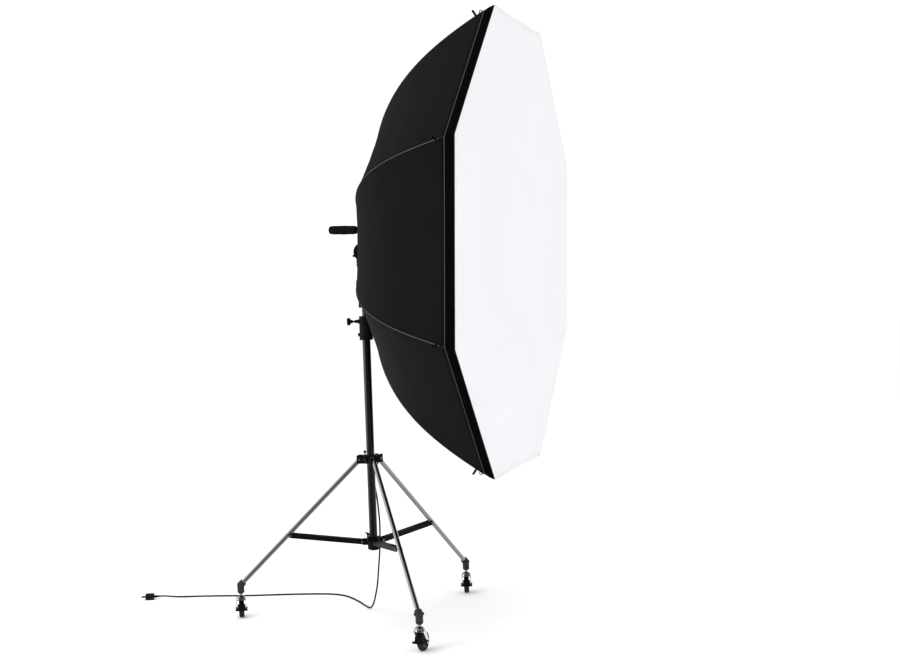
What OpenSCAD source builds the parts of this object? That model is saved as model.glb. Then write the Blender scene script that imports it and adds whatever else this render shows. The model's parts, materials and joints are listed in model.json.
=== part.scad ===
// Octagonal indirect softbox on a three-legged roller stand.
// Millimetres. +Z is up and the light faces -Y. The origin is on the floor, under the
// middle of the whole outline, and the column stands column_y behind it.

/* [Softbox] */
// Size of the front face across its corners
face_across = 1912; // [1500:4:2300]
// Depth from the front face to the rear edge of the cloth
canopy_depth = 573; // [480:1:700]
// Width of the plain band behind the front edge
rim_band = 40; // [25:1:60]
// How far the front edge stands out beyond the first seam, at the corners
band_flare = 18; // [5:1:30]
// Thickness of the canopy cloth
cloth = 2; // [1:0.5:4]
// Diameter of the eight bent ribs
rib_d = 8; // [6:0.5:12]
// How far each rib leans in from square to the front face, at its two ends
rib_lean_hub = -3; // [-5:1:12]
rib_lean_rim = 61; // [45:1:75]
// Pull of each rib end along its own direction, which sets how the rib bends
rib_pull_hub = 486; // [300:2:520]
rib_pull_rim = 354; // [250:2:480]
// Diameter of the cord sewn into the seams
piping_d = 5; // [3:0.5:8]
// How far the end cap of each rib stands out of its pocket
rib_tip_out = 26; // [12:1:35]
// Distance of those caps behind the first seam, along the rib
rib_tip_back = 40; // [25:1:90]
// Radius of the rear hub that the ribs plug into
hub_r = 89; // [80:1:110]

/* [Lamp] */
// Diameter of the lamp body
lamp_d = 100; // [80:1:120]
// Length of the lamp body
lamp_len = 190; // [140:5:240]
// Diameter of the shaft that carries the lamp
shaft_d = 20; // [14:1:26]
// Length of that shaft in front of the hub
shaft_len = 440; // [360:10:500]
// Length of the carriage on the shaft
carriage_len = 60; // [40:1:80]

/* [Tilt head] */
// How far the softbox faces down at rest, in degrees
rest_tilt = 1.9; // [-5:0.1:5]
// Distance from the tilt axis to the front face
face_y = 657; // [600:1:780]
// Height of the softbox's centre line above the tilt axis
axis_up = 25; // [15:1:35]
// Radius of the two tilt discs
disc_r = 37; // [30:1:42]
// Thickness of each tilt disc
disc_t = 17; // [12:1:22]
// Height of the tilt axis above the bottom of the pan base
head_rise = 80; // [76:1:110]
// Height of the handle above the tilt axis
handle_up = 90; // [80:1:110]
// Length and diameter of the foam grip
grip_len = 123; // [90:1:150]
grip_d = 37; // [28:1:42]

/* [Column] */
// Outer diameter of the column tube
column_d = 33; // [30:0.5:42]
// Wall of the column tube
column_wall = 2; // [1.5:0.1:3]
// Length of the column tube
column_len = 904; // [860:2:1100]
// Length of the top collar
top_collar_h = 98; // [80:1:120]
// Outer diameter of the top collar
top_collar_d = 55; // [52:1:64]
// Length of riser tube between the top collar and the pan base
riser_show = 183; // [150:1:320]
// Length of the riser tube
riser_len = 995; // [700:5:1050]
// Reach of the riser's T-knob from the column's centre line
riser_knob_reach = 80; // [70:1:90]

/* [Legs] */
// Direction of the first leg, counted from +X towards +Y
stand_turn = 96.3; // [90:0.1:100]
// Length of a leg, from its hinge pin to the castor's stem
leg_len = 752; // [640:2:900]
// Angle between a leg and the column
leg_angle = 45.6; // [40:0.1:50]
// Diameter of a leg tube
leg_d = 20; // [16:0.5:24]
// Distance of the leg and brace hinge pins from the column's centre line
hinge_r = 45; // [42:1:54]
// Height of the leg hinge pins above the lower end of the column
collar_rise = 372; // [340:1:420]
// Distance along the leg from its hinge pin to the brace's rivet
brace_at = 440; // [400:1:480]
// Height of the leg collar
leg_collar_h = 34; // [30:1:44]
// Diameter of the leg and brace hinge pins
pin_d = 6; // [5:0.5:8]

/* [Castors] */
// Height from the floor to the top of the castor's fork
castor_h = 100; // [96:1:130]
// Diameter of a castor wheel
wheel_d = 75; // [60:1:80]
// Width of the tyre
wheel_w = 22; // [18:0.5:26]
// Distance from the swivel axis to the axle
trail = 28; // [22:0.5:32]
// Direction that each castor trails in, counted from +X towards +Y
castor_turns = [25, 355, 17];

/* [Cord] */
// Diameter of the cord
cord_d = 7; // [6:0.5:8]

/* [Hidden] */
$fn = 64;

// Distance from the origin back to the column
column_y = 36;

// Clearances: a shaft in its hole, a sliding tube, and two faces that pass each other
fit_gap = 0.05;
face_gap = 0.3;

// Stand heights, from the floor up
socket_rise = 42;
stem_r = hinge_r + leg_len * sin(leg_angle);
hinge_z = castor_h + socket_rise + leg_len * cos(leg_angle);
column_foot = hinge_z - collar_rise;
column_top = column_foot + column_len;
collar_seat = 40;
top_collar_z = column_top - collar_seat;
top_collar_top = top_collar_z + top_collar_h;
pan_z = top_collar_top + riser_show;
tilt_z = pan_z + head_rise;

// Riser tube, which slides inside the column
riser_wall = 1.8;
riser_gap = 0.5;
riser_d = column_d - 2 * column_wall - 2 * riser_gap;
spigot_depth = 34;
riser_top = pan_z + spigot_depth;
glide_h = 30;

// Leg collar and brace hub
ear_t = 6;
ear_out = 11;
ear_y = leg_d / 2 + face_gap;
collar_wall = 9.5;
collar_r = column_d / 2 + collar_wall;
pin_head_d = 10;
pin_head_t = 2;
pin_len = 2 * (ear_y + ear_t);
ball_d = 12;
ball_turn = 60;
hub_h = 51;
hub_pin_rise = 30;
lug_t = 18;
lug_h = 26;

// Braces: two side plates, joined by a web that stops short of the leg
plate_t = 2;
brace_h = 20;
brace_drop = 12;
brace_web_end = 100;
brace_web_start = 22;
plate_in = leg_d / 2 + face_gap;
brace_out_r = hinge_r + brace_at * sin(leg_angle) - brace_drop * cos(leg_angle);
brace_out_z = hinge_z - brace_at * cos(leg_angle) - brace_drop * sin(leg_angle);
brace_in_z = column_foot + hub_pin_rise;
brace_len = norm([brace_out_r - hinge_r, brace_out_z - brace_in_z]);
brace_tip = atan2(brace_out_z - brace_in_z, brace_out_r - hinge_r);

// Leg tubes and their cast sockets
leg_wall = 1.5;
leg_over = 10;
leg_end = 2;
socket_d = 30;
socket_grip = 16;
socket_boss_d = 29;
socket_chamfer = 5;
neck = 6;

// Castors
stem_d = 11;
stem_up = 28;
dome_d = 44;
dome_h = 20;
dome_lip = 4;
cheek_t = 2.5;
cheek_y = 18;
axle_d = 8;
rim_d = 50;
wheel_boss_w = 30;
wheel_boss_d = 18;
brake_gap = 2;
brake_t = 3.5;
brake_arm_in = 12.5;
brake_arm_t = 3.5;
brake_wing_out = 25;
brake_top_w = 20;

// Softbox: the ribs' bend is one cubic curve from the hub to the front corners
rim_r = face_across / 2;
canopy_r0 = (hub_r + 1) / cos(22.5);
seam_r = rim_r - band_flare;
curve_steps = 18;
sector = 45;
half_sector = 22.5;
P0 = [canopy_r0, canopy_depth];
P1 = P0 + rib_pull_hub * [cos(rib_lean_hub), -sin(rib_lean_hub)];
P3 = [seam_r, rim_band];
P2 = P3 - rib_pull_rim * [cos(rib_lean_rim), -sin(rib_lean_rim)];
rib_inset = cloth + rib_d / 2 + 3;
diffuser_t = 1.5;

// Hub and tilt head
plate_y = 7;
hub_back = face_y - disc_r - 2 - plate_y;
hub_front = hub_back - 56;
hub_plate = 8;
hub_rim = 14;
rod_reach = 28;
back_plate_r = 46;
arm_top = handle_up + 14;
sleeve_d = 46;
sleeve_h = head_rise - disc_r - 1.5;
tilt_bolt_d = 10;
lever_t = 12;
lever_len = 38;
lever_turn = 25;
rod_d = 9;
rod_x = disc_t / 2;
grip_y = 29;
rod_in_grip = 100;

// Lamp
shaft_drop = lamp_d / 2 + shaft_d / 2 + 6;
lamp_z = 170;
carriage_w = 46;
carriage_t = 32;
carriage_z = lamp_z + 70;
dome_r = 36;
knob_d = 26;

// T-knobs
knob_wing = 16;
pan_knob_reach = 74;

// Cable clip, lead and gland, set out about the riser
clip_z = top_collar_top + 35;
clip_h = 33;
clip_d = 54;
lead_turn = 107;
exit_turn = 25;
lead_r = 23.5;
gland_r = 18.6;
gland_lean = 15;
gland_len = 22;

// Route of the lead from the gland down to the clip: distance from the riser, height
lead_route = [[24.3, 1419.7], [27, 1411], [30, 1400], [31.5, 1386], [31.2, 1371],
              [28.5, 1354], [25.2, 1341], [23.5, 1334], [23.5, 1326.6]];

// Route of the cord, from the clip to the plug, about the column
cord_route = [
    [21, 10, 1292.7], [21, 10, 1286], [24, 11, 1274], [30, 14, 1260], [33, 15, 1244],
    [33, 15, 1200], [34, 16, 1120], [35, 16, 1000], [35, 16, 880], [36, 16, 760],
    [38, 14, 660], [46, 8, 580], [61, 1, 500], [72, -1, 430], [78, -1, 385],
    [84, 3, 317], [90, 9, 257], [100, 21, 178], [112, 32, 120], [128, 47, 74],
    [148, 64, 36], [168, 82, 13], [190, 101, 4.4], [222, 128, 3.6], [262, 159, 3.6],
    [306, 195, 3.6], [350, 235, 3.6], [396, 287, 3.6], [420, 345, 3.6], [418, 420, 3.6],
    [401, 508, 3.6], [376, 605, 3.6], [350, 690, 3.6], [331, 775, 3.6], [312, 875, 3.6],
    [288, 975, 3.6], [257, 1050, 6.6], [236, 1096, 12.6], [227, 1119, 13]];
plug_at = cord_route[len(cord_route) - 1];
plug_dir = plug_at - cord_route[len(cord_route) - 2];
plug_turn = atan2(plug_dir[1], plug_dir[0]);
plug_w = 37;
plug_h = 25.6;
plug_len = 36;
plug_neck = 28;
plug_pin_d = 4.8;
plug_pin_len = 19;
plug_pin_gap = 19;

black = [0.03, 0.03, 0.035];
satin_black = [0.06, 0.06, 0.065];
cast_grey = [0.24, 0.24, 0.23];
chrome = [0.75, 0.76, 0.78];
tyre_brown = [0.09, 0.07, 0.06];
white_cloth = [0.93, 0.94, 0.96];

// ---------- places ----------

// The column's own frame
module on_column() { translate([0, column_y, 0]) children(); }

// Leg n's upright plane, with +X pointing outwards
module in_leg_plane(n) { rotate([0, 0, stand_turn + 120 * n]) children(); }

// Leg n's own frame: +Z runs down the leg from its hinge pin, +X is its underside
module on_leg(n) {
    in_leg_plane(n) translate([hinge_r, 0, hinge_z]) rotate([0, 180 - leg_angle, 0]) children();
}

// Brace n's own frame: +X runs along the brace from its hinge pin
module on_brace(n) {
    in_leg_plane(n) translate([hinge_r, 0, brace_in_z]) rotate([0, -brace_tip, 0]) children();
}

// Castor n's own frame on the floor under its stem: it trails in the direction +X
module at_castor(n) {
    in_leg_plane(n) translate([stem_r, 0, 0])
        rotate([0, 0, castor_turns[n] - stand_turn - 120 * n]) children();
}

// The tilting head's frame, with its origin on the tilt axis
module tilted() { translate([0, 0, tilt_z]) rotate([rest_tilt, 0, 0]) children(); }

// The softbox's frame: z runs back from the front face along the centre line, +y is down
module in_softbox() {
    tilted() translate([0, -face_y, axis_up]) rotate([-90, 0, 0]) children();
}

// A cylinder along Y, centred
module along_y(d, h) { rotate([90, 0, 0]) cylinder(d = d, h = h, center = true); }

// A cylinder along X, from x0 to x1
module along_x(d, x0, x1) { translate([x0, 0, 0]) rotate([0, 90, 0]) cylinder(d = d, h = x1 - x0); }

// ---------- swept tubes ----------

function unit(v) = v / norm(v);
function tangent(p, i) = unit(p[min(i + 1, len(p) - 1)] - p[max(i - 1, 0)]);
function square_to(v, t) = unit(v - (v * t) * t);

// One sideways direction for each point, carried along the path without twisting
function sideways(p, first) =
    [for (i = 0, s = square_to(first, tangent(p, 0)); i < len(p);
          i = i + 1, s = i < len(p) ? square_to(s, tangent(p, i)) : s) s];

// A closed round tube along the points p; first is any direction across its start
module tube_along(p, d, sides, first) {
    s = sideways(p, first);
    rings = [for (i = [0:len(p) - 1]) let (b = cross(tangent(p, i), s[i]))
             for (k = [0:sides - 1]) p[i] + d / 2 * (cos(360 * k / sides) * s[i]
                                                    + sin(360 * k / sides) * b)];
    walls = [for (i = [0:len(p) - 2]) for (k = [0:sides - 1]) let (n = (k + 1) % sides)
             [i * sides + k, (i + 1) * sides + k, (i + 1) * sides + n, i * sides + n]];
    start = [for (k = [0:sides - 1]) k];
    stop = [for (k = [sides - 1:-1:0]) (len(p) - 1) * sides + k];
    polyhedron(rings, concat(walls, [start, stop]), convexity = 8);
}

// A smooth curve through hand-set points, with the given steps between each two
function through(a, b, c, d, t) =
    0.5 * (2 * b + (c - a) * t + (2 * a - 5 * b + 4 * c - d) * t * t
           + (3 * b - 3 * c + d - a) * t * t * t);
function smooth(p, steps) =
    let (n = len(p) - 1)
    concat([for (i = [0:n - 1]) for (k = [0:steps - 1])
            through(p[max(i - 1, 0)], p[i], p[i + 1], p[min(i + 2, n)], k / steps)], [p[n]]);

// ---------- column and top collar ----------

module column_tube() {
    color(black) translate([0, 0, column_foot]) difference() {
        cylinder(d = column_d, h = column_len);
        translate([0, 0, -1]) cylinder(d = column_d - 2 * column_wall, h = column_len + 2);
    }
}

module column_foot_plug() {
    color(satin_black) translate([0, 0, column_foot]) {
        translate([0, 0, -4]) cylinder(d = column_d, h = 4);
        cylinder(d = column_d - 2 * column_wall - 2 * fit_gap, h = 14);
    }
}

module top_collar() {
    color(satin_black) difference() {
        union() {
            translate([0, 0, top_collar_z]) cylinder(d = top_collar_d, h = top_collar_h);
            // clamp lug with its two screw heads
            rotate([0, 0, -30]) for (z = [24, 70]) translate([0, 0, top_collar_z + z]) {
                translate([top_collar_d / 2 - 6, -8, -9]) cube([14, 16, 18]);
                translate([top_collar_d / 2 + 3, 0, 0]) along_y(8, 20);
            }
            // boss for the T-knob's screw
            rotate([0, 0, lead_turn]) translate([0, 0, riser_knob_z()])
                along_x(18, top_collar_d / 2 - 4, top_collar_d / 2 + 5);
        }
        translate([0, 0, top_collar_z - 1]) cylinder(d = column_d + 2 * fit_gap, h = collar_seat + 1);
        translate([0, 0, top_collar_z]) cylinder(d = riser_d + 2 * fit_gap, h = top_collar_h + 1);
        rotate([0, 0, lead_turn]) translate([0, 0, riser_knob_z()])
            along_x(screw_d() + 2 * fit_gap, riser_d / 2 - 1, top_collar_d);
        rotate([0, 0, lead_turn]) translate([0, 0, stop_screw_z()])
            along_x(screw_d() + 2 * fit_gap, column_d / 2 - 1, top_collar_d);
    }
}

function screw_d() = 6;
function riser_knob_z() = top_collar_z + top_collar_h - 21;
function stop_screw_z() = top_collar_z + 22;

// A T-shaped clamping knob on a screw along +X, from radius r0 to reach
module t_knob(r0, boss, reach, wing) {
    along_x(screw_d(), r0, boss + 14);
    along_x(14, boss, boss + 12);
    along_x(8, boss + 11, reach - 18);
    translate([reach - 10, 0, 0]) {
        cylinder(d = 16, h = wing, center = true);
        for (s = [-1, 1]) translate([0, 0, s * wing / 2]) sphere(d = 16, $fn = 32);
    }
    along_x(15, reach - 26, reach - 12);
}

module riser_lock_knob() {
    color(black) rotate([0, 0, lead_turn]) translate([0, 0, riser_knob_z()])
        t_knob(riser_d / 2 + face_gap, top_collar_d / 2 + 5 + face_gap, riser_knob_reach, knob_wing);
}

module collar_stop_screw() {
    color(black) rotate([0, 0, lead_turn]) translate([0, 0, stop_screw_z()]) {
        along_x(screw_d(), column_d / 2 + face_gap, top_collar_d / 2 + 1);
        along_x(14, top_collar_d / 2 + face_gap, top_collar_d / 2 + 6);
    }
}

// ---------- leg collar, brace hub and their pins ----------

module leg_collar() {
    color(satin_black) difference() {
        translate([0, 0, hinge_z - leg_collar_h / 2]) union() {
            cylinder(r = collar_r, h = leg_collar_h);
            for (n = [0:2]) in_leg_plane(n) for (s = [-1, 1])
                translate([column_d / 2 + 2, s > 0 ? ear_y : -ear_y - ear_t, 0])
                    cube([hinge_r + ear_out - column_d / 2 - 2, ear_t, leg_collar_h]);
            in_leg_plane(0) rotate([0, 0, ball_turn]) translate([0, 0, leg_collar_h / 2])
                along_x(16, collar_r - 3, collar_r + 3);
        }
        translate([0, 0, hinge_z - leg_collar_h]) cylinder(d = column_d + 2 * fit_gap, h = 2 * leg_collar_h);
        for (n = [0:2]) in_leg_plane(n) translate([hinge_r, 0, hinge_z])
            along_y(pin_d + 2 * fit_gap, 2 * pin_len);
        in_leg_plane(0) rotate([0, 0, ball_turn]) translate([0, 0, hinge_z])
            along_x(screw_d() + 2 * fit_gap, column_d / 2 - 1, hinge_r);
    }
}

// A hinge pin along Y with a flat head at both ends
module hinge_pin(grip) {
    along_y(pin_d, grip + 2 * pin_head_t);
    for (s = [-1, 1]) translate([0, s * (grip / 2 + pin_head_t / 2), 0]) along_y(pin_head_d, pin_head_t);
}

module leg_hinge_pins() {
    color(chrome) for (n = [0:2]) in_leg_plane(n) translate([hinge_r, 0, hinge_z]) hinge_pin(pin_len);
}

// Clamping lever with a ball end, standing up beside the column
module leg_collar_knob() {
    color(black) in_leg_plane(0) rotate([0, 0, ball_turn]) translate([0, 0, hinge_z]) {
        along_x(screw_d(), column_d / 2 + face_gap, collar_r + 8);
        along_x(14, collar_r + 3 + face_gap, collar_r + 10);
        translate([collar_r + 7, 0, 0]) cylinder(d = 5, h = leg_collar_h / 2 + 14);
        translate([collar_r + 7, 0, leg_collar_h / 2 + 17]) sphere(d = ball_d, $fn = 32);
    }
}

module brace_hub() {
    color(satin_black) difference() {
        union() {
            translate([0, 0, column_foot]) cylinder(r = collar_r - 1.5, h = hub_h);
            for (n = [0:2]) in_leg_plane(n) {
                translate([column_d / 2 + 2, -lug_t / 2, brace_in_z - lug_h / 2])
                    cube([hinge_r - column_d / 2 - 2, lug_t, lug_h]);
                translate([hinge_r, 0, brace_in_z]) along_y(brace_h - 4, lug_t);
            }
            // ear that the catch turns on
            in_leg_plane(0) rotate([0, 0, ball_turn]) translate([collar_r - 4, -3, column_foot + hub_h - 16])
                cube([13, 6, 14]);
        }
        translate([0, 0, column_foot - 1]) cylinder(d = column_d + 2 * fit_gap, h = hub_h + 2);
        for (n = [0:2]) in_leg_plane(n) translate([hinge_r, 0, brace_in_z])
            along_y(pin_d + 2 * fit_gap, 2 * lug_t);
        catch_place() along_y(catch_pin_d() + 2 * fit_gap, 20);
    }
}

function catch_pin_d() = 4;
module catch_place() {
    in_leg_plane(0) rotate([0, 0, ball_turn])
        translate([collar_r + 4, 0, column_foot + hub_h - 9]) children();
}

module brace_hinge_pins() {
    color(chrome) for (n = [0:2]) in_leg_plane(n) translate([hinge_r, 0, brace_in_z])
        hinge_pin(2 * (plate_in + plate_t + face_gap));
}

// Curved finger that hooks over a folded leg, with its pin
module fold_catch() {
    color(satin_black) catch_place() {
        along_y(catch_pin_d(), 14);
        for (s = [-1, 1]) translate([0, s * 5, 0]) {
            along_y(11, 3);
            translate([-2.5, -1.5, 0]) cube([5, 3, 20]);
        }
        translate([12, 0, 18]) rotate([90, 0, 0]) difference() {
            cylinder(r = 14.5, h = 13, center = true);
            cylinder(r = 9.5, h = 15, center = true);
            translate([0, -20, -10]) cube([20, 40, 20]);
            translate([-20, -40, -10]) cube([40, 40, 20]);
        }
    }
}

// ---------- legs ----------

module leg_tube(n) {
    color(chrome) on_leg(n) difference() {
        translate([0, 0, -leg_over]) cylinder(d = leg_d, h = leg_len - leg_end + leg_over);
        translate([0, 0, -leg_over - 1]) cylinder(d = leg_d - 2 * leg_wall, h = leg_len + leg_over);
        along_y(pin_d + 2 * fit_gap, 2 * leg_d);
    }
}

module leg_socket(n) {
    color(cast_grey) difference() {
        union() {
            on_leg(n) translate([0, 0, leg_len - leg_end - socket_grip])
                cylinder(d = socket_d, h = socket_grip + leg_end);
            on_leg(n) translate([0, 0, leg_len]) sphere(d = socket_d + 1.2);
            at_castor(n) translate([0, 0, castor_h + neck]) {
                cylinder(d1 = socket_boss_d - 2 * socket_chamfer, d2 = socket_boss_d, h = socket_chamfer);
                translate([0, 0, socket_chamfer])
                    cylinder(d = socket_boss_d, h = socket_rise - neck - socket_chamfer);
            }
            // boss of the screw that clamps the leg
            on_leg(n) translate([0, 0, leg_len - 4]) along_y(13, socket_d + 7);
        }
        on_leg(n) translate([0, 0, leg_len - leg_end - socket_grip - 1])
            cylinder(d = leg_d + 2 * fit_gap, h = socket_grip + 1);
        at_castor(n) translate([0, 0, castor_h]) cylinder(d = stem_d + 2 * fit_gap, h = stem_up + face_gap);
    }
}

// ---------- braces ----------

// Side view of one brace plate, with round ends
module brace_side() {
    difference() {
        union() {
            translate([0, -brace_h / 2]) square([brace_len, brace_h]);
            for (x = [0, brace_len]) translate([x, 0]) circle(d = brace_h);
        }
        circle(d = pin_d + 2 * fit_gap);
    }
}

module brace(n) {
    color(satin_black) on_brace(n) {
        for (s = [-1, 1]) translate([0, s * (plate_in + plate_t / 2) + plate_t / 2, 0])
            rotate([90, 0, 0]) linear_extrude(plate_t) brace_side();
        translate([brace_web_start, -plate_in - 1, brace_h / 2 - plate_t])
            cube([brace_len - brace_web_end - brace_web_start, 2 * plate_in + 2, plate_t]);
        for (s = [-1, 1]) translate([brace_len, s * (plate_in + plate_t + 1), 0]) along_y(11, 3);
    }
}

// ---------- castors ----------

module castor_fork(n) {
    color(chrome) at_castor(n) {
        translate([0, 0, castor_h - dome_h]) cylinder(d = stem_d, h = dome_h + stem_up);
        translate([0, 0, castor_h - dome_h]) rotate_extrude() polygon(concat(
            [[0, 0], [dome_d / 2 - 1, 0], [dome_d / 2, 1], [dome_d / 2, dome_lip - 1]],
            [for (a = [0:10:80]) [(dome_d / 2 - 1) * cos(a), dome_lip + (dome_h - dome_lip) * sin(a)]],
            [[0, dome_h]]));
        for (s = [-1, 1]) translate([0, s * (cheek_y + cheek_t / 2) + cheek_t / 2, 0])
            rotate([90, 0, 0]) linear_extrude(cheek_t) {
                polygon([[-13, castor_h - dome_h + 1], [13, castor_h - dome_h + 1],
                    [trail + 9, wheel_d / 2 + 2], [trail - 9, wheel_d / 2 + 2]]);
                translate([trail, wheel_d / 2]) circle(r = 9.5);
            }
        translate([-12, -cheek_y - cheek_t, castor_h - dome_h - 2]) cube([24, 2 * (cheek_y + cheek_t), 3]);
        // axle with its two nuts
        translate([trail, 0, wheel_d / 2]) {
            along_y(axle_d, 2 * (cheek_y + cheek_t) + 10);
            for (s = [-1, 1]) translate([0, s * (cheek_y + cheek_t + 1.9), 0]) rotate([90, 0, 0])
                cylinder(d = 13, h = 4, center = true, $fn = 6);
        }
    }
}

module castor_wheel(n) {
    color(cast_grey) at_castor(n) translate([trail, 0, wheel_d / 2]) rotate([90, 0, 0]) difference() {
        union() {
            cylinder(d = rim_d, h = wheel_w - 4, center = true);
            cylinder(d = wheel_boss_d, h = wheel_boss_w, center = true);
        }
        cylinder(d = axle_d + 2 * fit_gap, h = wheel_boss_w + 2, center = true);
        for (s = [-1, 1]) translate([0, 0, s * (wheel_w / 2 - 2)]) difference() {
            cylinder(d = rim_d - 8, h = 6, center = true);
            cylinder(d = 24, h = 8, center = true);
        }
    }
}

module castor_tyre(n) {
    color(tyre_brown) at_castor(n) translate([trail, 0, wheel_d / 2]) rotate([90, 0, 0])
        rotate_extrude() polygon([[rim_d / 2 + fit_gap, -wheel_w / 2 + 2], [rim_d / 2 + 3, -wheel_w / 2],
            [wheel_d / 2 - 4, -wheel_w / 2], [wheel_d / 2 - 1, -wheel_w / 2 + 3], [wheel_d / 2, -wheel_w / 2 + 6],
            [wheel_d / 2, wheel_w / 2 - 6], [wheel_d / 2 - 1, wheel_w / 2 - 3], [wheel_d / 2 - 4, wheel_w / 2],
            [rim_d / 2 + 3, wheel_w / 2], [rim_d / 2 + fit_gap, wheel_w / 2 - 2]]);
}

// Side view of one brake arm: it turns on the wheel's boss, outside the axle
module brake_arm_side(reach) {
    difference() {
        union() {
            circle(d = 24);
            rotate(168) translate([0, -9]) square([reach, 18]);
        }
        circle(d = wheel_boss_d + 2 * face_gap);
    }
}

// Brake: a curved shoe in front of the wheel with a plate above it, two arms to the axle and
// a foot bar that stands out on both sides
module castor_brake(n) {
    shoe_r = wheel_d / 2 + brake_gap;
    half_w = brake_arm_in + brake_arm_t;
    color(black) at_castor(n) translate([trail, 0, wheel_d / 2]) rotate([90, 0, 0]) {
        rotate([0, 0, 132]) translate([shoe_r + 0.5, -10, -brake_top_w / 2])
            cube([brake_t, 24, brake_top_w]);
        rotate([0, 0, 146]) rotate_extrude(angle = 38) translate([shoe_r, -half_w])
            square([brake_t + 1, 2 * half_w]);
        for (s = [-1, 1]) translate([0, 0, s * (brake_arm_in + brake_arm_t / 2) - brake_arm_t / 2])
            linear_extrude(brake_arm_t) brake_arm_side(shoe_r + 1);
        rotate([0, 0, 178]) translate([shoe_r + 0.8, -4, -brake_wing_out])
            cube([brake_t + 2, 8, 2 * brake_wing_out]);
    }
}

// ---------- riser and pan base ----------

module riser_tube() {
    color(black) translate([0, 0, riser_top - riser_len]) difference() {
        cylinder(d = riser_d, h = riser_len);
        translate([0, 0, -1]) cylinder(d = riser_d - 2 * riser_wall, h = riser_len + 2);
    }
}

// Plastic glide that keeps the riser's lower end central in the column
module riser_glide() {
    color(satin_black) translate([0, 0, riser_top - riser_len - glide_h]) {
        cylinder(d = riser_d + 2 * riser_gap - 2 * fit_gap, h = glide_h);
        cylinder(d = riser_d - 2 * riser_wall - 2 * fit_gap, h = glide_h + 12);
    }
}

module cable_clip() {
    color(black) translate([0, 0, clip_z]) difference() {
        cylinder(d = clip_d, h = clip_h);
        translate([0, 0, -1]) cylinder(d = riser_d + 2 * fit_gap, h = clip_h + 2);
    }
}

module pan_base() {
    color(satin_black) difference() {
        union() {
            translate([0, 0, pan_z]) cylinder(d = sleeve_d, h = sleeve_h);
            translate([-disc_t, -disc_r + 12, pan_z + 20]) cube([disc_t - face_gap / 2, 2 * disc_r - 24, head_rise - 20]);
            translate([0, 0, tilt_z]) along_x(2 * disc_r, -disc_t, -face_gap / 2);
            rotate([0, 0, pan_knob_turn()]) translate([0, 0, pan_z + 18])
                along_x(18, sleeve_d / 2 - 5, sleeve_d / 2 + 4);
        }
        translate([0, 0, pan_z - 1]) cylinder(d = riser_d + 2 * fit_gap, h = spigot_depth + 1.5);
        translate([0, 0, tilt_z]) along_x(tilt_bolt_d + 2 * fit_gap, -disc_t - 1, 1);
        rotate([0, 0, pan_knob_turn()]) translate([0, 0, pan_z + 18])
            along_x(screw_d() + 2 * fit_gap, riser_d / 2 - 1, sleeve_d);
    }
}

function pan_knob_turn() = -12;
module pan_lock_knob() {
    color(black) rotate([0, 0, pan_knob_turn()]) translate([0, 0, pan_z + 18])
        t_knob(riser_d / 2 + face_gap, sleeve_d / 2 + 4 + face_gap, pan_knob_reach, knob_wing);
}

module gland_place() {
    rotate([0, 0, lead_turn]) translate([gland_r, 0, pan_z]) rotate([0, 180 - gland_lean, 0]) children();
}

// Tapered strain relief under the pan base
module cord_gland() {
    color(black) difference() {
        gland_place() union() {
            translate([0, 0, -2]) cylinder(d1 = 8.4, d2 = 8.4, h = 8);
            translate([0, 0, 5]) cylinder(d1 = 8.4, d2 = cord_d + 1, h = gland_len - 5);
        }
        translate([-50, -50, pan_z - 0.01]) cube([100, 100, 20]);
    }
}

// ---------- tilting head ----------

module tilt_block() {
    color(satin_black) tilted() difference() {
        union() {
            along_x(2 * disc_r, face_gap / 2, disc_t);
            translate([face_gap / 2, -disc_r - 2 - plate_y, -14])
                cube([disc_t - face_gap / 2, disc_r - 14, arm_top + 14]);
            translate([0, -disc_r - 2 - plate_y / 2, axis_up]) along_y(2 * back_plate_r, plate_y);
        }
        along_x(tilt_bolt_d + 2 * fit_gap, -1, disc_t + 1);
        translate([rod_x, 0, handle_up]) along_y(rod_d + 2 * fit_gap, 200);
    }
}

// Bolt through both discs, with a hexagon head on the far side
module tilt_bolt() {
    color(chrome) translate([0, 0, tilt_z]) {
        along_x(tilt_bolt_d, -disc_t - 6, disc_t + 1);
        translate([disc_t + fit_gap, 0, 0]) rotate([0, 90, 0]) cylinder(d = 18, h = 7, $fn = 6);
    }
}

module tilt_lock_lever() {
    color(black) translate([0, 0, tilt_z]) rotate([-lever_turn, 0, 0]) difference() {
        union() {
            along_x(22, -disc_t - face_gap - lever_t, -disc_t - face_gap);
            translate([-disc_t - lever_t, 0, -3.5]) cube([6, lever_len - 4, 7]);
            translate([-disc_t - lever_t + 3, lever_len - 2, 0]) sphere(d = 11, $fn = 32);
        }
        along_x(tilt_bolt_d + 2 * fit_gap, -disc_t - 7, 0);
    }
}

module handle_rod() {
    color(chrome) tilted() translate([rod_x, 0, handle_up]) rotate([-90, 0, 0])
        translate([0, 0, -disc_r - plate_y + 4]) cylinder(d = rod_d, h = disc_r + plate_y - 4 + grip_y + rod_in_grip);
}

module handle_grip() {
    color(black) tilted() translate([rod_x, grip_y, handle_up]) rotate([-90, 0, 0]) difference() {
        rotate_extrude() polygon([[0, 0], [grip_d / 2 - 5, 0], [grip_d / 2 - 2.5, 3], [grip_d / 2 - 1.5, grip_len * 0.25],
            [grip_d / 2, grip_len * 0.55], [grip_d / 2 - 1.5, grip_len * 0.8], [grip_d / 2 - 2, grip_len - 5],
            [grip_d / 2 - 6, grip_len], [0, grip_len]]);
        translate([0, 0, -1]) cylinder(d = rod_d + 2 * fit_gap, h = rod_in_grip + 1);
    }
}

// ---------- softbox ----------

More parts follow.
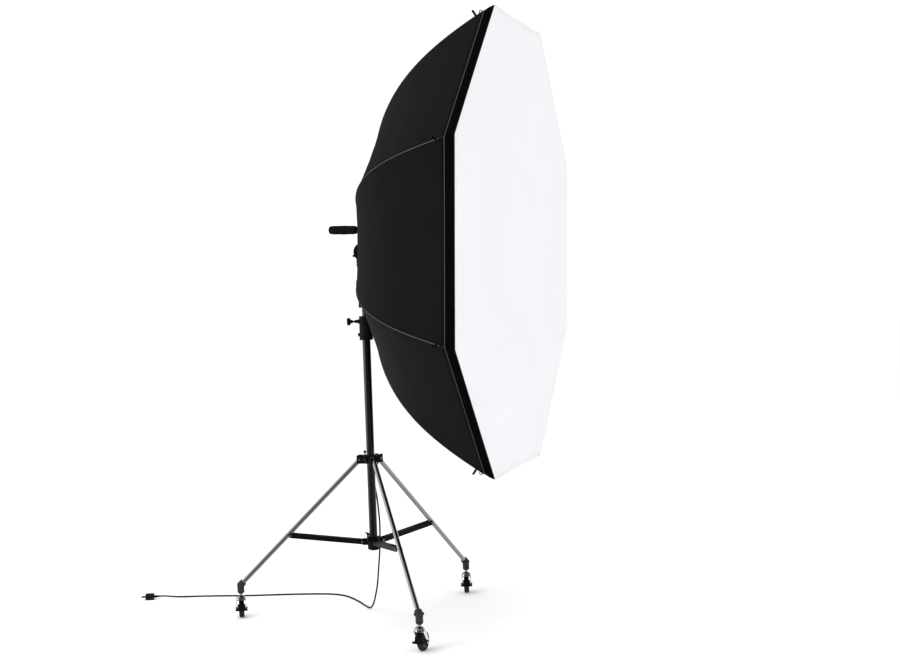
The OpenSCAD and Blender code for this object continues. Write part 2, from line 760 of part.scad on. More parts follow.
function curve(t) = pow(1 - t, 3) * P0 + 3 * t * pow(1 - t, 2) * P1 + 3 * t * t * (1 - t) * P2 + t * t * t * P3;
function curve_dir(t) = unit(3 * pow(1 - t, 2) * (P1 - P0) + 6 * t * (1 - t) * (P2 - P1) + 3 * t * t * (P3 - P2));
// A point in from the rib's line by inset, square to it
function inset_curve(t, inset) = let (u = curve_dir(t)) curve(t) + inset * [u[1], -u[0]];
function rib_point(t, inset) = let (q = inset_curve(t, inset)) [q[0], 0, q[1]];

module octagon_turned() { rotate([0, 0, half_sector]) rotate_extrude($fn = 8) children(); }
module at_corners() { for (k = [0:7]) rotate([0, 0, half_sector + sector * k]) children(); }

// One closed skin of eight gores, flat from rib to rib
module canopy() {
    outer = [for (i = [0:curve_steps]) curve(i / curve_steps)];
    inner = [for (i = [curve_steps:-1:0]) inset_curve(i / curve_steps, cloth)];
    color(black) in_softbox() octagon_turned() polygon(concat(outer, inner));
}

module seam_piping() {
    line = [for (i = [0:curve_steps - 3]) rib_point((i + 0.5) / curve_steps, -piping_d / 2 - face_gap)];
    color([0.35, 0.36, 0.4]) in_softbox() at_corners() tube_along(line, piping_d, 6, [0, 1, 0]);
}

module rim_band_cloth() {
    back_edge = rim_band - cloth - face_gap;
    color(black) in_softbox() octagon_turned() polygon([[seam_r, back_edge], [rim_r, 1], [rim_r, 0],
        [rim_r - cloth, 0], [seam_r - cloth, back_edge]]);
}

module front_diffuser() {
    color(white_cloth) in_softbox() rotate([0, 0, half_sector]) translate([0, 0, -diffuser_t - face_gap])
        cylinder(r = rim_r - 1, h = diffuser_t, $fn = 8);
}

module rib_rods() {
    bent = [for (i = [1:curve_steps - 1]) rib_point(i / curve_steps, rib_inset)];
    color(chrome) in_softbox() at_corners() tube_along(concat([rod_start()], bent), rib_d, 8, [0, 1, 0]);
}

// Inner end of each rod, inside the hub
function rod_start() =
    let (q = inset_curve(0, rib_inset) - rod_reach * curve_dir(0)) [q[0], 0, q[1]];

// End cap of each rib, standing out square to the canopy near the front corner
module rib_tips() {
    t = 1 - rib_tip_back / (3 * rib_pull_rim);
    base = rib_point(t, -face_gap);
    u = curve_dir(t);
    lean = atan2(-u[1], u[0]);
    color(black) in_softbox() at_corners() translate(base) rotate([0, lean, 0]) {
        cylinder(d = 9, h = rib_tip_out - 5);
        translate([0, 0, rib_tip_out - 5]) cylinder(d1 = 9, d2 = 7, h = 5);
    }
}

module hub_ring() {
    color(satin_black) in_softbox() difference() {
        union() {
            difference() {
                translate([0, 0, hub_front]) cylinder(r = hub_r, h = hub_back - hub_front);
                translate([0, 0, hub_front - 1]) cylinder(r = hub_r - hub_rim, h = hub_back - hub_front - hub_plate + 1);
            }
            translate([0, shaft_drop, hub_back - hub_plate - 24]) cylinder(d = shaft_d + 14, h = 26);
        }
        translate([0, shaft_drop, hub_front - 1]) cylinder(d = shaft_d + 2 * fit_gap, h = hub_back - hub_front - hub_plate + 3);
        at_corners() translate(rod_start()) rotate([0, 90 + rib_lean_hub, 0])
            translate([0, 0, -3]) cylinder(d = rib_d + 1.2, h = rod_reach + 10);
    }
}

// ---------- lamp ----------

module on_shaft() { translate([0, shaft_drop, 0]) children(); }

module lamp_shaft() {
    color(chrome) in_softbox() on_shaft() translate([0, 0, hub_back - hub_plate + 1 - shaft_len])
        cylinder(d = shaft_d, h = shaft_len);
}

module lamp_carriage() {
    color(satin_black) in_softbox() difference() {
        translate([-carriage_w / 2, lamp_d / 2 - 6, carriage_z]) cube([carriage_w, carriage_t + 10, carriage_len]);
        translate([0, 0, carriage_z - 1]) cylinder(d = lamp_d + 2 * fit_gap, h = carriage_len + 2);
        on_shaft() translate([0, 0, carriage_z - 1]) cylinder(d = shaft_d + 2 * fit_gap, h = carriage_len + 2);
        translate([0, shaft_drop, carriage_z + carriage_len / 2]) rotate([-90, 0, 0])
            cylinder(d = screw_d() + 2 * fit_gap, h = 60);
    }
}

module carriage_knob() {
    bottom = lamp_d / 2 - 6 + carriage_t + 10;
    color(black) in_softbox() translate([0, 0, carriage_z + carriage_len / 2]) rotate([-90, 0, 0]) {
        translate([0, 0, shaft_drop + shaft_d / 2 + face_gap]) cylinder(d = screw_d(), h = bottom + 4 - shaft_drop - shaft_d / 2);
        translate([0, 0, bottom + face_gap]) cylinder(d1 = 16, d2 = knob_d, h = 8);
        translate([0, 0, bottom + face_gap + 8]) cylinder(d = knob_d, h = 10);
    }
}

module lamp_body() {
    color(satin_black) in_softbox() translate([0, 0, lamp_z]) rotate_extrude() polygon([
        [0, 0], [lamp_d / 2 - 8, 0], [lamp_d / 2, 8], [lamp_d / 2, lamp_len - 26], [lamp_d / 2 + 6, lamp_len - 18],
        [lamp_d / 2 + 6, lamp_len], [lamp_d / 2 + 1, lamp_len], [lamp_d / 2 - 4, lamp_len - 10], [0, lamp_len - 10]]);
}

module lamp_dome() {
    color([0.95, 0.95, 0.9]) in_softbox() translate([0, 0, lamp_z + lamp_len - 10 + face_gap]) rotate_extrude()
        difference() {
            union() {
                square([dome_r, 22]);
                translate([0, 22]) circle(r = dome_r);
            }
            translate([-2 * dome_r, -dome_r]) square([2 * dome_r, 4 * dome_r]);
            translate([0, -2 * dome_r]) square([2 * dome_r, 2 * dome_r]);
        }
}

// ---------- lead, cord and plug ----------

module lamp_lead() {
    points = [for (q = smooth(lead_route, 2)) [q[0] * cos(lead_turn), q[0] * sin(lead_turn), q[1]]];
    color(black) tube_along(points, cord_d, 10, [0, 0, 1]);
}

module cord() {
    color(black) tube_along(smooth(cord_route, 2), cord_d, 10, [0, 1, 0]);
}

module at_plug() {
    translate([plug_at[0], plug_at[1], 0]) rotate([0, 0, plug_turn])
        translate([0.2, 0, plug_h / 2 + 0.2]) children();
}

// Round plug lying on the floor at the end of the cord, with flats above and below
module plug() {
    color(black) at_plug() {
        rotate([0, 90, 0]) cylinder(d1 = cord_d + 1, d2 = cord_d + 6, h = plug_neck);
        translate([plug_neck - 2, 0, 0]) intersection() {
            rotate([0, 90, 0]) cylinder(d = plug_w, h = plug_len);
            translate([0, -plug_w, -plug_h / 2]) cube([plug_len, 2 * plug_w, plug_h]);
        }
    }
}

module plug_pins() {
    color(chrome) at_plug() for (s = [-1, 1]) translate([plug_neck - 2 + plug_len, s * plug_pin_gap / 2, 0])
        rotate([0, 90, 0]) cylinder(d = plug_pin_d, h = plug_pin_len);
}

on_column() column_tube();
on_column() column_foot_plug();
on_column() brace_hub();
on_column() brace_hinge_pins();
on_column() fold_catch();
on_column() top_collar();
on_column() riser_lock_knob();
on_column() collar_stop_screw();
on_column() leg_collar();
on_column() leg_hinge_pins();
on_column() leg_collar_knob();
on_column() leg_tube(0);  // leg_tube_1
on_column() leg_tube(1);  // leg_tube_2
on_column() leg_tube(2);  // leg_tube_3
on_column() leg_socket(0);  // leg_socket_1
on_column() leg_socket(1);  // leg_socket_2
on_column() leg_socket(2);  // leg_socket_3
on_column() brace(0);  // brace_1
on_column() brace(1);  // brace_2
on_column() brace(2);  // brace_3
on_column() castor_fork(0);  // castor_fork_1
on_column() castor_fork(1);  // castor_fork_2
on_column() castor_fork(2);  // castor_fork_3
on_column() castor_wheel(0);  // castor_wheel_1
on_column() castor_wheel(1);  // castor_wheel_2
on_column() castor_wheel(2);  // castor_wheel_3
on_column() castor_tyre(0);  // castor_tyre_1
on_column() castor_tyre(1);  // castor_tyre_2
on_column() castor_tyre(2);  // castor_tyre_3
on_column() castor_brake(0);  // castor_brake_1
on_column() castor_brake(1);  // castor_brake_2
on_column() castor_brake(2);  // castor_brake_3
on_column() riser_tube();
on_column() riser_glide();
on_column() cable_clip();
on_column() pan_base();
on_column() pan_lock_knob();
on_column() cord_gland();
on_column() tilt_block();
on_column() tilt_bolt();
on_column() tilt_lock_lever();
on_column() handle_rod();
on_column() handle_grip();
on_column() hub_ring();
on_column() rib_rods();
on_column() rib_tips();
on_column() canopy();
on_column() seam_piping();
on_column() rim_band_cloth();
on_column() front_diffuser();
on_column() lamp_shaft();
on_column() lamp_carriage();
on_column() carriage_knob();
on_column() lamp_body();
on_column() lamp_dome();
on_column() lamp_lead();
on_column() cord();
on_column() plug();
on_column() plug_pins();
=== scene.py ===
"""Octagonal indirect softbox on a roller stand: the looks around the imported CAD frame, in metres."""
import json
import math

import bpy
from mathutils import Matrix, Vector


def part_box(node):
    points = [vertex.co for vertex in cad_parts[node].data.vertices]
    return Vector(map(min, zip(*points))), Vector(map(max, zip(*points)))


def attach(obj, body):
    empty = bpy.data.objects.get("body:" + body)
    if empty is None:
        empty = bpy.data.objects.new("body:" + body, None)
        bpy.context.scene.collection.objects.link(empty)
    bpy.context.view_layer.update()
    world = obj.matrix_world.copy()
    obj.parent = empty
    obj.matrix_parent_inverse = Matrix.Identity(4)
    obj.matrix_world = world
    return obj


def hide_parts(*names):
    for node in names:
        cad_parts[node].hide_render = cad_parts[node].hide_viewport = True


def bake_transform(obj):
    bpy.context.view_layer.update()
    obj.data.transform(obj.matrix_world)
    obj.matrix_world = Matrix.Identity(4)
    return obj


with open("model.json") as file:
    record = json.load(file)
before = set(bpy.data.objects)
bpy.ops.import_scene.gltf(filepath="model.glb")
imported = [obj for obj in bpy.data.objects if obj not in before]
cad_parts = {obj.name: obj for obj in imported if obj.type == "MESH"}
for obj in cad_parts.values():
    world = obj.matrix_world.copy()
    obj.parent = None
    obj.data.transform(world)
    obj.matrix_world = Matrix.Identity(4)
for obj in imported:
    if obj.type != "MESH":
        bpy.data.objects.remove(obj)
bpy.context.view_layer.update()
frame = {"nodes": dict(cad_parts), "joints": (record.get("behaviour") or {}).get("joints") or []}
joints = {joint["name"]: joint for joint in frame["joints"]}
tilt_axis = Vector(joints["tilt"]["pos_m"])
column_y = tilt_axis.y

# ---------- camera ----------

camera_place = Vector((-5.6488, -2.0879 + column_y, 1.4102))
camera_turn, camera_pitch, camera_roll = math.radians(-72.994), math.radians(-2.1069), math.radians(-1.9384)


def add_camera():
    ahead = Vector((-math.sin(camera_turn) * math.cos(camera_pitch),
                    math.cos(camera_turn) * math.cos(camera_pitch), math.sin(camera_pitch)))
    level = Vector((math.cos(camera_turn), math.sin(camera_turn), 0))
    above = level.cross(ahead)
    right = math.cos(camera_roll) * level + math.sin(camera_roll) * above
    up = right.cross(ahead)
    camera = bpy.data.objects.new("camera", bpy.data.cameras.new("camera"))
    camera.data.lens = 58.577
    camera.data.sensor_width = 36
    camera.data.clip_end = 60
    camera.matrix_world = Matrix.Translation(camera_place) @ Matrix((right, up, -ahead)).transposed().to_4x4()
    bpy.context.scene.collection.objects.link(camera)
    bpy.context.scene.camera = camera


add_camera()

# ---------- meshes ----------

lead_d = 0.007
cord_sides = 16


def piece(name, vertices, faces, paint, body=None, smooth=True):
    """A mesh object with one material, riding on a body if one is named."""
    mesh = bpy.data.meshes.new(name)
    mesh.from_pydata([tuple(v) for v in vertices], [], faces)
    mesh.validate()
    if smooth:
        mesh.shade_smooth()
    mesh.materials.append(paint)
    obj = bpy.data.objects.new(name, mesh)
    bpy.context.scene.collection.objects.link(obj)
    if body:
        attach(obj, body)
    return obj


def directions(points, closed=False):
    """The unit direction of a path at each of its points."""
    last = len(points) - 1
    if closed:
        return [(points[(i + 1) % (last + 1)] - points[i - 1]).normalized() for i in range(last + 1)]
    return [(points[min(i + 1, last)] - points[max(i - 1, 0)]).normalized() for i in range(last + 1)]


def tube(points, radius, sides, first, closed=False):
    """Vertices and faces of a round tube along points; radius is a number or one for each point."""
    radii = radius if hasattr(radius, "__len__") else [radius] * len(points)
    vertices, faces, side = [], [], Vector(first)
    for point, along, r in zip(points, directions(points, closed), radii):
        side = (side - side.dot(along) * along).normalized()
        other = along.cross(side)
        vertices += [point + r * (math.cos(a) * side + math.sin(a) * other)
                     for a in (2 * math.pi * k / sides for k in range(sides))]
    rings = len(points)
    for i in range(rings if closed else rings - 1):
        for k in range(sides):
            n, below, above = (k + 1) % sides, i * sides, ((i + 1) % rings) * sides
            faces.append((below + k, below + n, above + n, above + k))
    if not closed:
        faces += [tuple(reversed(range(sides))), tuple((rings - 1) * sides + k for k in range(sides))]
    return vertices, faces


def ring_faces(rings, sides, first=0):
    """Faces between rings of vertices that follow one another."""
    return [(first + i * sides + k, first + i * sides + (k + 1) % sides,
             first + (i + 1) * sides + (k + 1) % sides, first + (i + 1) * sides + k)
            for i in range(rings - 1) for k in range(sides)]


def merged(parts):
    """Several (vertices, faces) as one."""
    vertices, faces = [], []
    for some, their in parts:
        faces += [tuple(i + len(vertices) for i in face) for face in their]
        vertices += some
    return vertices, faces


def lathe(profile, sides, place):
    """A closed turned shape: profile is (radius, height) along the local Z of place."""
    vertices = []
    for r, z in profile:
        vertices += [place @ Vector((r * math.cos(a), r * math.sin(a), z))
                     for a in (2 * math.pi * k / sides for k in range(sides))]
    faces = ring_faces(len(profile), sides)
    faces += [tuple(reversed(range(sides))), tuple((len(profile) - 1) * sides + k for k in range(sides))]
    return vertices, faces


def smooth_path(points, steps):
    """A smooth curve through the points, with the given steps between each two."""
    path = []
    for i in range(len(points) - 1):
        a, b, c, d = (points[min(max(i + k, 0), len(points) - 1)] for k in (-1, 0, 1, 2))
        path += [0.5 * (2 * b + (c - a) * t + (2 * a - 5 * b + 4 * c - d) * t * t
                        + (3 * b - 3 * c + d - a) * t ** 3) for t in (k / steps for k in range(steps))]
    return path + [points[-1]]


def length_of(points):
    return sum((b - a).length for a, b in zip(points, points[1:]))


# ---------- materials ----------

class Wire:
    """A socket in a node tree; arithmetic on it adds Math nodes."""

    def __init__(self, nodes, socket):
        self.nodes, self.socket = nodes, socket

    def _math(self, operation, *values):
        return self.nodes.add("ShaderNodeMath", {"operation": operation}, *values)

    def __add__(self, other):
        return self._math("ADD", self, other)

    def __sub__(self, other):
        return self._math("SUBTRACT", self, other)

    def __rsub__(self, other):
        return self._math("SUBTRACT", other, self)

    def __mul__(self, other):
        return self._math("MULTIPLY", self, other)

    def __gt__(self, other):
        return self._math("GREATER_THAN", self, other)

    def __lt__(self, other):
        return self._math("LESS_THAN", self, other)

    def __mod__(self, other):
        return self._math("FLOORED_MODULO", self, other)

    def sine(self):
        return self._math("SINE", self)

    def size(self):
        return self._math("ABSOLUTE", self)

    __radd__, __rmul__ = __add__, __mul__


class Nodes:
    """A node tree that is built up from expressions."""

    def __init__(self, tree, shader):
        self.tree, self.shader = tree, shader

    def add(self, kind, settings=None, *values, output=0, **named):
        """A node of that kind with its settings; its inputs are given by place or by name."""
        node = self.tree.nodes.new(kind)
        for key, value in (settings or {}).items():
            if key == "stops":
                while len(node.color_ramp.elements) < len(value):
                    node.color_ramp.elements.new(0.5)
                for stop, (place, shade) in zip(node.color_ramp.elements, value):
                    stop.position, stop.color = place, (*shade, 1)
            else:
                setattr(node, key, value)
        for key, value in [*enumerate(values), *((k.replace("_", " "), v) for k, v in named.items())]:
            self.feed(node.inputs[key], value)
        return Wire(self, node.outputs[output])

    def feed(self, socket, value):
        if isinstance(value, Wire):
            self.tree.links.new(value.socket, socket)
        elif hasattr(value, "__len__") and len(value) == 3 and socket.type == "RGBA":
            socket.default_value = (*value, 1)
        else:
            socket.default_value = value

    def set(self, **wires):
        for socket, value in wires.items():
            self.feed(self.shader.inputs[socket.replace("_", " ")], value)
        return self

    def place(self):
        return self.add("ShaderNodeTexCoord", output=3)

    def noise(self, scale, detail=3.0, stretch=(1, 1, 1)):
        """Noise with about one blob in 1 / scale metres, from 0 to 1."""
        spread = self.add("ShaderNodeMapping", None, self.place(), Scale=stretch)
        return self.add("ShaderNodeTexNoise", None, Vector=spread, Scale=scale, Detail=detail)

    def attribute(self, name, part):
        """One coordinate of a vector attribute of the mesh."""
        vector = self.add("ShaderNodeAttribute", {"attribute_name": name}, output=1)
        return self.add("ShaderNodeSeparateXYZ", None, vector, output=part)

    def between(self, factor, dark, light):
        return self.add("ShaderNodeValToRGB", {"stops": [(0.0, dark), (1.0, light)]}, factor)

    def bump(self, height, depth):
        self.set(Normal=self.add("ShaderNodeBump", None, Strength=1.0, Distance=depth, Height=height))
        return self.material


class Paint(Nodes):
    """A Principled material."""

    def __init__(self, name, **fixed):
        self.material = bpy.data.materials.new(name)
        self.material.use_nodes = True
        super().__init__(self.material.node_tree, self.material.node_tree.nodes["Principled BSDF"])
        for socket, value in fixed.items():
            self.shader.inputs[socket.replace("_", " ")].default_value = value


def grey(value, blue=0.0):
    return (value, value, value + blue)


def shiny_metal(name, shade, rough, streaks=(1, 1, 1)):
    """Plated or drawn metal: fine streaks in the roughness, and a faint dulling."""
    paint = Paint(name, Metallic=1.0, IOR=2.2)
    haze, fine = paint.noise(9, 4), paint.noise(260, 2, streaks)
    paint.set(Base_Color=paint.between(haze, tuple(c * 0.9 for c in shade), shade),
              Roughness=rough + 0.05 * haze + 0.05 * fine)
    return paint.bump(fine, 0.00002)


def black_finish(name, shade, rough, grain, depth, coat=0.0, dust=0.35, gleam=1.2):
    """Enamel, moulded plastic or powder coat: its grain, and a little dust that greys and dulls it."""
    paint = Paint(name, Coat_Weight=coat, Coat_Roughness=0.06, IOR=gleam)
    patches, texture = paint.noise(7, 5), paint.noise(grain, 2)
    paint.set(Base_Color=paint.between(patches, tuple(c * (1 - dust) for c in shade),
                                       tuple(c * (1 + dust) for c in shade)),
              Roughness=rough + 0.16 * (patches - 0.5) + 0.06 * texture)
    return paint.bump(texture, depth)


def sand_cast(name, shade):
    paint = Paint(name, Metallic=0.35)
    pits, patches = paint.noise(700, 4), paint.noise(30, 4)
    paint.set(Base_Color=paint.between(patches, tuple(c * 0.65 for c in shade),
                                       tuple(c * 1.4 for c in shade)),
              Roughness=0.5 + 0.25 * pits)
    return paint.bump(pits + patches, 0.0003)


def tyre_rubber():
    """Brown-black rubber with scuffs and floor dust on it."""
    paint = Paint("tyre_rubber", Specular_IOR_Level=0.15)
    dust, scuff = paint.noise(60, 5), paint.noise(900, 3)
    paint.set(Base_Color=paint.between(dust, (0.009, 0.007, 0.006), (0.04, 0.031, 0.026)),
              Roughness=0.62 + 0.25 * scuff)
    return paint.bump(scuff, 0.0002)


def soft_foam():
    paint = Paint("grip_foam", Specular_IOR_Level=0.08)
    cells, patches = paint.noise(1500, 3), paint.noise(40, 3)
    paint.set(Base_Color=paint.between(patches, grey(0.003), grey(0.008)), Roughness=0.8 + 0.15 * cells)
    return paint.bump(cells, 0.0004)


def thread(paint, coordinate, pitch):
    """A rounded wave along a coordinate in metres, from -1 to 1."""
    return (coordinate * (2 * math.pi / pitch)).sine()


def stitches(paint, distance, along, inset):
    """1 on a line of stitches that lies inset from an edge: 4 mm long, 2 mm apart, 1 mm wide."""
    on_line = (distance - inset).size() < 0.0006
    return on_line * ((along % 0.005) < 0.0035)


def black_cloth(name, dark, light, rough, gleam):
    """Coated plain weave. The mesh gives each point's place on its panel and its distance from the seam."""
    paint = Paint(name, IOR=gleam)
    across, along, seam = (paint.attribute("cloth", part) for part in range(3))
    weave = thread(paint, across, 0.0016) * thread(paint, along, 0.0016)
    slub, clouds = paint.noise(420, 3, (1, 1, 0.3)), paint.noise(6, 4)
    row = stitches(paint, seam, along, 0.007)
    paint.set(Base_Color=paint.between(0.55 * slub + 0.45 * clouds + 0.25 * row, dark, light),
              Roughness=rough + 0.1 * slub + 0.04 * weave)
    return paint.bump(0.4 * weave + slub - 1.5 * row, 0.0002)


def white_cloth():
    """Thin white diffusing cloth with a fine weave and faint pull lines, whose shading is painted into its
    colour, and painted shade near the hem.
    """
    paint = Paint("white_cloth", Sheen_Weight=0.1, Specular_IOR_Level=0.2)
    across, along, seam = (paint.attribute("cloth", part) for part in range(3))
    weave = thread(paint, across, 0.0014) * thread(paint, along, 0.0014)
    clouds, pull_and_painted_shade = paint.noise(2.2, 3), paint.noise(5, 2, (5, 1, 1))
    # painted shade: the cloth within 18 mm of the edge is darkened, as if shaded at the rolled hem
    hem = seam < 0.018
    # painted shade: the pull lines streak the colour lighter and darker, as wrinkles would shade it
    paint.set(Base_Color=paint.between(0.7 * clouds + 0.3 * pull_and_painted_shade - 0.12 * hem,
                                       (0.84, 0.85, 0.88), (0.92, 0.925, 0.94)),
              Roughness=0.7 + 0.15 * clouds)
    return paint.bump(0.3 * weave + 0.2 * pull_and_painted_shade, 0.0004)


def corded_piping():
    paint = Paint("grey_piping", Specular_IOR_Level=0.15)
    threads, patches = paint.noise(900, 3), paint.noise(25, 3)
    paint.set(Base_Color=paint.between(0.5 * threads + 0.5 * patches,
                                       (0.03, 0.032, 0.038), (0.085, 0.088, 0.1)),
              Roughness=0.6 + 0.3 * threads)
    return paint.bump(threads, 0.0004)


def webbing():
    paint = Paint("black_webbing", Specular_IOR_Level=0.1)
    rib, patches = paint.noise(700, 2, (1, 6, 1)), paint.noise(50, 3)
    paint.set(Base_Color=paint.between(patches, grey(0.004), grey(0.012)), Roughness=0.6 + 0.3 * rib)
    return paint.bump(rib, 0.0004)


def cord_rubber():
    paint = Paint("cord_rubber", Specular_IOR_Level=0.15)
    matt, patches = paint.noise(1200, 2), paint.noise(18, 4)
    paint.set(Base_Color=paint.between(patches, grey(0.004), grey(0.012)), Roughness=0.42 + 0.25 * matt)
    return paint.bump(matt, 0.00008)


def frosted_dome():
    paint = Paint("frosted_dome", Transmission_Weight=0.35, IOR=1.45)
    frost = paint.noise(300, 3)
    paint.set(Base_Color=paint.between(frost, grey(0.72), grey(0.85)), Roughness=0.4 + 0.25 * frost)
    return paint.bump(frost, 0.0001)


gloss_black = black_finish("gloss_black_enamel", grey(0.0035, 0.0005), 0.14, 160, 0.00003,
                           coat=1.0, gleam=1.1)
satin_black = black_finish("satin_black_paint", grey(0.0045), 0.34, 900, 0.00012, gleam=1.2)
casting_black = black_finish("black_moulding", grey(0.0045), 0.42, 1100, 0.0002)
matt_black = black_finish("matt_black_plastic", grey(0.004), 0.5, 1300, 0.0002)
knob_black = black_finish("knob_plastic", grey(0.004), 0.3, 600, 0.0001, gleam=1.25)
wheel_plastic = black_finish("wheel_plastic", (0.05, 0.046, 0.042), 0.5, 900, 0.0002, gleam=1.4)
lamp_shell = black_finish("lamp_shell", grey(0.014), 0.4, 1000, 0.0002, gleam=1.4)
chrome = shiny_metal("bright_chrome", grey(0.74, 0.012), 0.05)
pin_steel = shiny_metal("pin_steel", grey(0.42), 0.24)
rib_steel = shiny_metal("rib_steel", grey(0.5), 0.3)
pin_brass = shiny_metal("plug_pin_brass", (0.75, 0.62, 0.36), 0.16)
cast_grey = sand_cast("grey_casting", (0.034, 0.034, 0.032))
tyre = tyre_rubber()
foam = soft_foam()
canopy_cloth = black_cloth("canopy_cloth", grey(0.0025, 0.0003), grey(0.007, 0.0006), 0.5, 1.12)
band_cloth = black_cloth("band_cloth", grey(0.0008), grey(0.0025, 0.0003), 0.6, 1.05)
diffusing_cloth = white_cloth()
piping_cloth = corded_piping()
tab_webbing = webbing()
cord_black = cord_rubber()
dome_glass = frosted_dome()

node_paints = {
    "column_tube": gloss_black, "riser_tube": gloss_black,
    "brace_": satin_black, "tilt_block": satin_black,
    "top_collar": casting_black, "leg_collar": casting_black, "brace_hub": casting_black,
    "pan_base": casting_black, "hub_ring": casting_black,
    "column_foot_plug": matt_black, "riser_glide": matt_black, "cable_clip": matt_black,
    "lamp_carriage": matt_black,
    "fold_catch": matt_black, "castor_brake": matt_black, "rib_tips": matt_black,
    "riser_lock_knob": knob_black, "collar_stop_screw": knob_black, "leg_collar_knob": knob_black,
    "pan_lock_knob": knob_black, "tilt_lock_lever": knob_black, "carriage_knob": knob_black,
    "leg_tube": chrome, "castor_fork": chrome, "handle_rod": chrome, "lamp_shaft": chrome,
    "brace_hinge_pins": pin_steel, "leg_hinge_pins": pin_steel, "tilt_bolt": pin_steel, "rib_rods": rib_steel,
    "leg_socket": cast_grey, "castor_wheel": wheel_plastic, "castor_tyre": tyre,
    "lamp_body": lamp_shell, "lamp_dome": dome_glass,
    "cord_gland": cord_black, "plug": cord_black, "plug_pins": pin_brass,
}


def paint_nodes():
    """Gives each CAD node that stays in view the paint with the longest name that starts its own."""
    for name, obj in frame["nodes"].items():
        fits = [key for key in node_paints if name.startswith(key)]
        if fits:
            obj.data.materials.clear()
            obj.data.materials.append(node_paints[max(fits, key=len)])


paint_nodes()

# ---------- softbox ----------

face_ahead = 0.657          # from the tilt axis to the front face
centre_up = 0.025           # the centre line above the tilt axis
rest_tilt = math.radians(1.9)
corner_turn = math.radians(22.5)
rim_r, seam_r = 0.956, 0.938
band_w = 0.04
hub_edge_r, cloth_depth = 0.0974, 0.573
lean_hub, lean_rim = math.radians(-3), math.radians(61)
pull_hub, pull_rim = 0.486, 0.354
panel_draw = 0.006          # how far the cloth is drawn in between two ribs
crease_depth = 0.0012
canopy_rows, panel_columns = 44, 16
cloth_t, diffuser_t, band_t, sleeve_t = 0.0012, 0.0006, 0.0014, 0.001
hem_proud = 0.003           # how far the front cloth's rolled hem stands out

rib_cording_r, seam_cording_r, edge_cording_r = 0.002, 0.0017, 0.0011

back = Vector((0, math.cos(rest_tilt), math.sin(rest_tilt)))
up = Vector((0, -math.sin(rest_tilt), math.cos(rest_tilt)))
face_centre = tilt_axis - face_ahead * back + centre_up * up

hub_point = Vector((hub_edge_r, cloth_depth))
rim_point = Vector((seam_r, band_w))
rib_line = [hub_point, hub_point + pull_hub * Vector((math.cos(lean_hub), -math.sin(lean_hub))),
            rim_point - pull_rim * Vector((math.cos(lean_rim), -math.sin(lean_rim))), rim_point]


def at_softbox(radius, turn, depth):
    """The row-frame point at that radius and turn round the centre line, and depth behind the front face."""
    return face_centre + radius * (math.cos(turn) * Vector((1, 0, 0)) + math.sin(turn) * up) + depth * back


def rib_at(t):
    """(radius, depth) of the seam over a rib, from the hub at 0 to the rim at 1."""
    a, b, c, d = rib_line
    return (1 - t) ** 3 * a + 3 * t * (1 - t) ** 2 * b + 3 * t * t * (1 - t) * c + t ** 3 * d


def rib_normal(t):
    """Outwards from the canopy, in the rib's own plane."""
    step = 1e-4
    along = (rib_at(min(t + step, 1)) - rib_at(max(t - step, 0))).normalized()
    return Vector((-along.y, along.x))


def corner(k):
    return corner_turn + k * 2 * corner_turn


def on_panel(k, share, radius, depth, lift, lean):
    """A point on panel k: share is 0 and 1 at its two corners, lift is out along the panel's own normal."""
    middle = corner(k) + corner_turn
    flat = radius * math.cos(corner_turn)
    side = (2 * share - 1) * radius * math.sin(corner_turn)
    out, behind = flat + lift * lean[0], depth + lift * lean[1]
    return (face_centre + out * (math.cos(middle) * Vector((1, 0, 0)) + math.sin(middle) * up)
            + side * (-math.sin(middle) * Vector((1, 0, 0)) + math.cos(middle) * up) + behind * back)


def give_cloth_places(obj, values):
    """Stores for each vertex (across, along, distance from the seam) in metres, for the weave."""
    attribute = obj.data.attributes.new("cloth", "FLOAT_VECTOR", "POINT")
    attribute.data.foreach_set("vector", [x for value in values for x in value])


def thicken(obj, thickness, side):
    """Gives a sheet its thickness: side is 1 for outwards and 0 for both ways."""
    skin = obj.modifiers.new("thickness", "SOLIDIFY")
    skin.thickness, skin.offset = thickness, side


def drawn_in(t, share, k):
    """How far the cloth lies inside the straight line between its two ribs, with faint creases."""
    bow = 4 * share * (1 - share)
    creases = math.sin(21 * t + 9 * share + 2.1 * k) * math.sin(13 * share + k)
    slack = math.sin(math.pi * min(t * 0.93 + 0.07, 1)) ** 0.7
    return panel_draw * bow * slack + crease_depth * bow * creases * t * (1 - t) * 4


def make_canopy():
    """One skin of eight panels with shared seams, given the cloth's thickness."""
    vertices, places, area, travelled = [], [], 0.0, 0.0
    for i in range(canopy_rows + 1):
        t = i / canopy_rows
        radius, depth = rib_at(t)
        lean = rib_normal(t)
        if i:
            before = rib_at((i - 1) / canopy_rows)
            step = math.hypot((radius - before[0]) * math.cos(corner_turn), depth - before[1])
            travelled += step
            area += 8 * step * (radius + before[0]) * math.sin(corner_turn)
        for k in range(8):
            for j in range(panel_columns):
                share = j / panel_columns
                vertices.append(on_panel(k, share, radius, depth, -drawn_in(t, share, k), lean))
                width = 2 * radius * math.sin(corner_turn)
                places.append(((share - 0.5) * width, travelled, min(share, 1 - share) * width))
    obj = piece("canopy_cloth", vertices, ring_faces(canopy_rows + 1, 8 * panel_columns), canopy_cloth)
    give_cloth_places(obj, places)
    thicken(obj, cloth_t, 1)
    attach(obj, "softbox")
    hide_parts("canopy")
    # the width of the strip the eight tapering panels would make, laid side by side head to tail
    width = area / travelled * 1.02


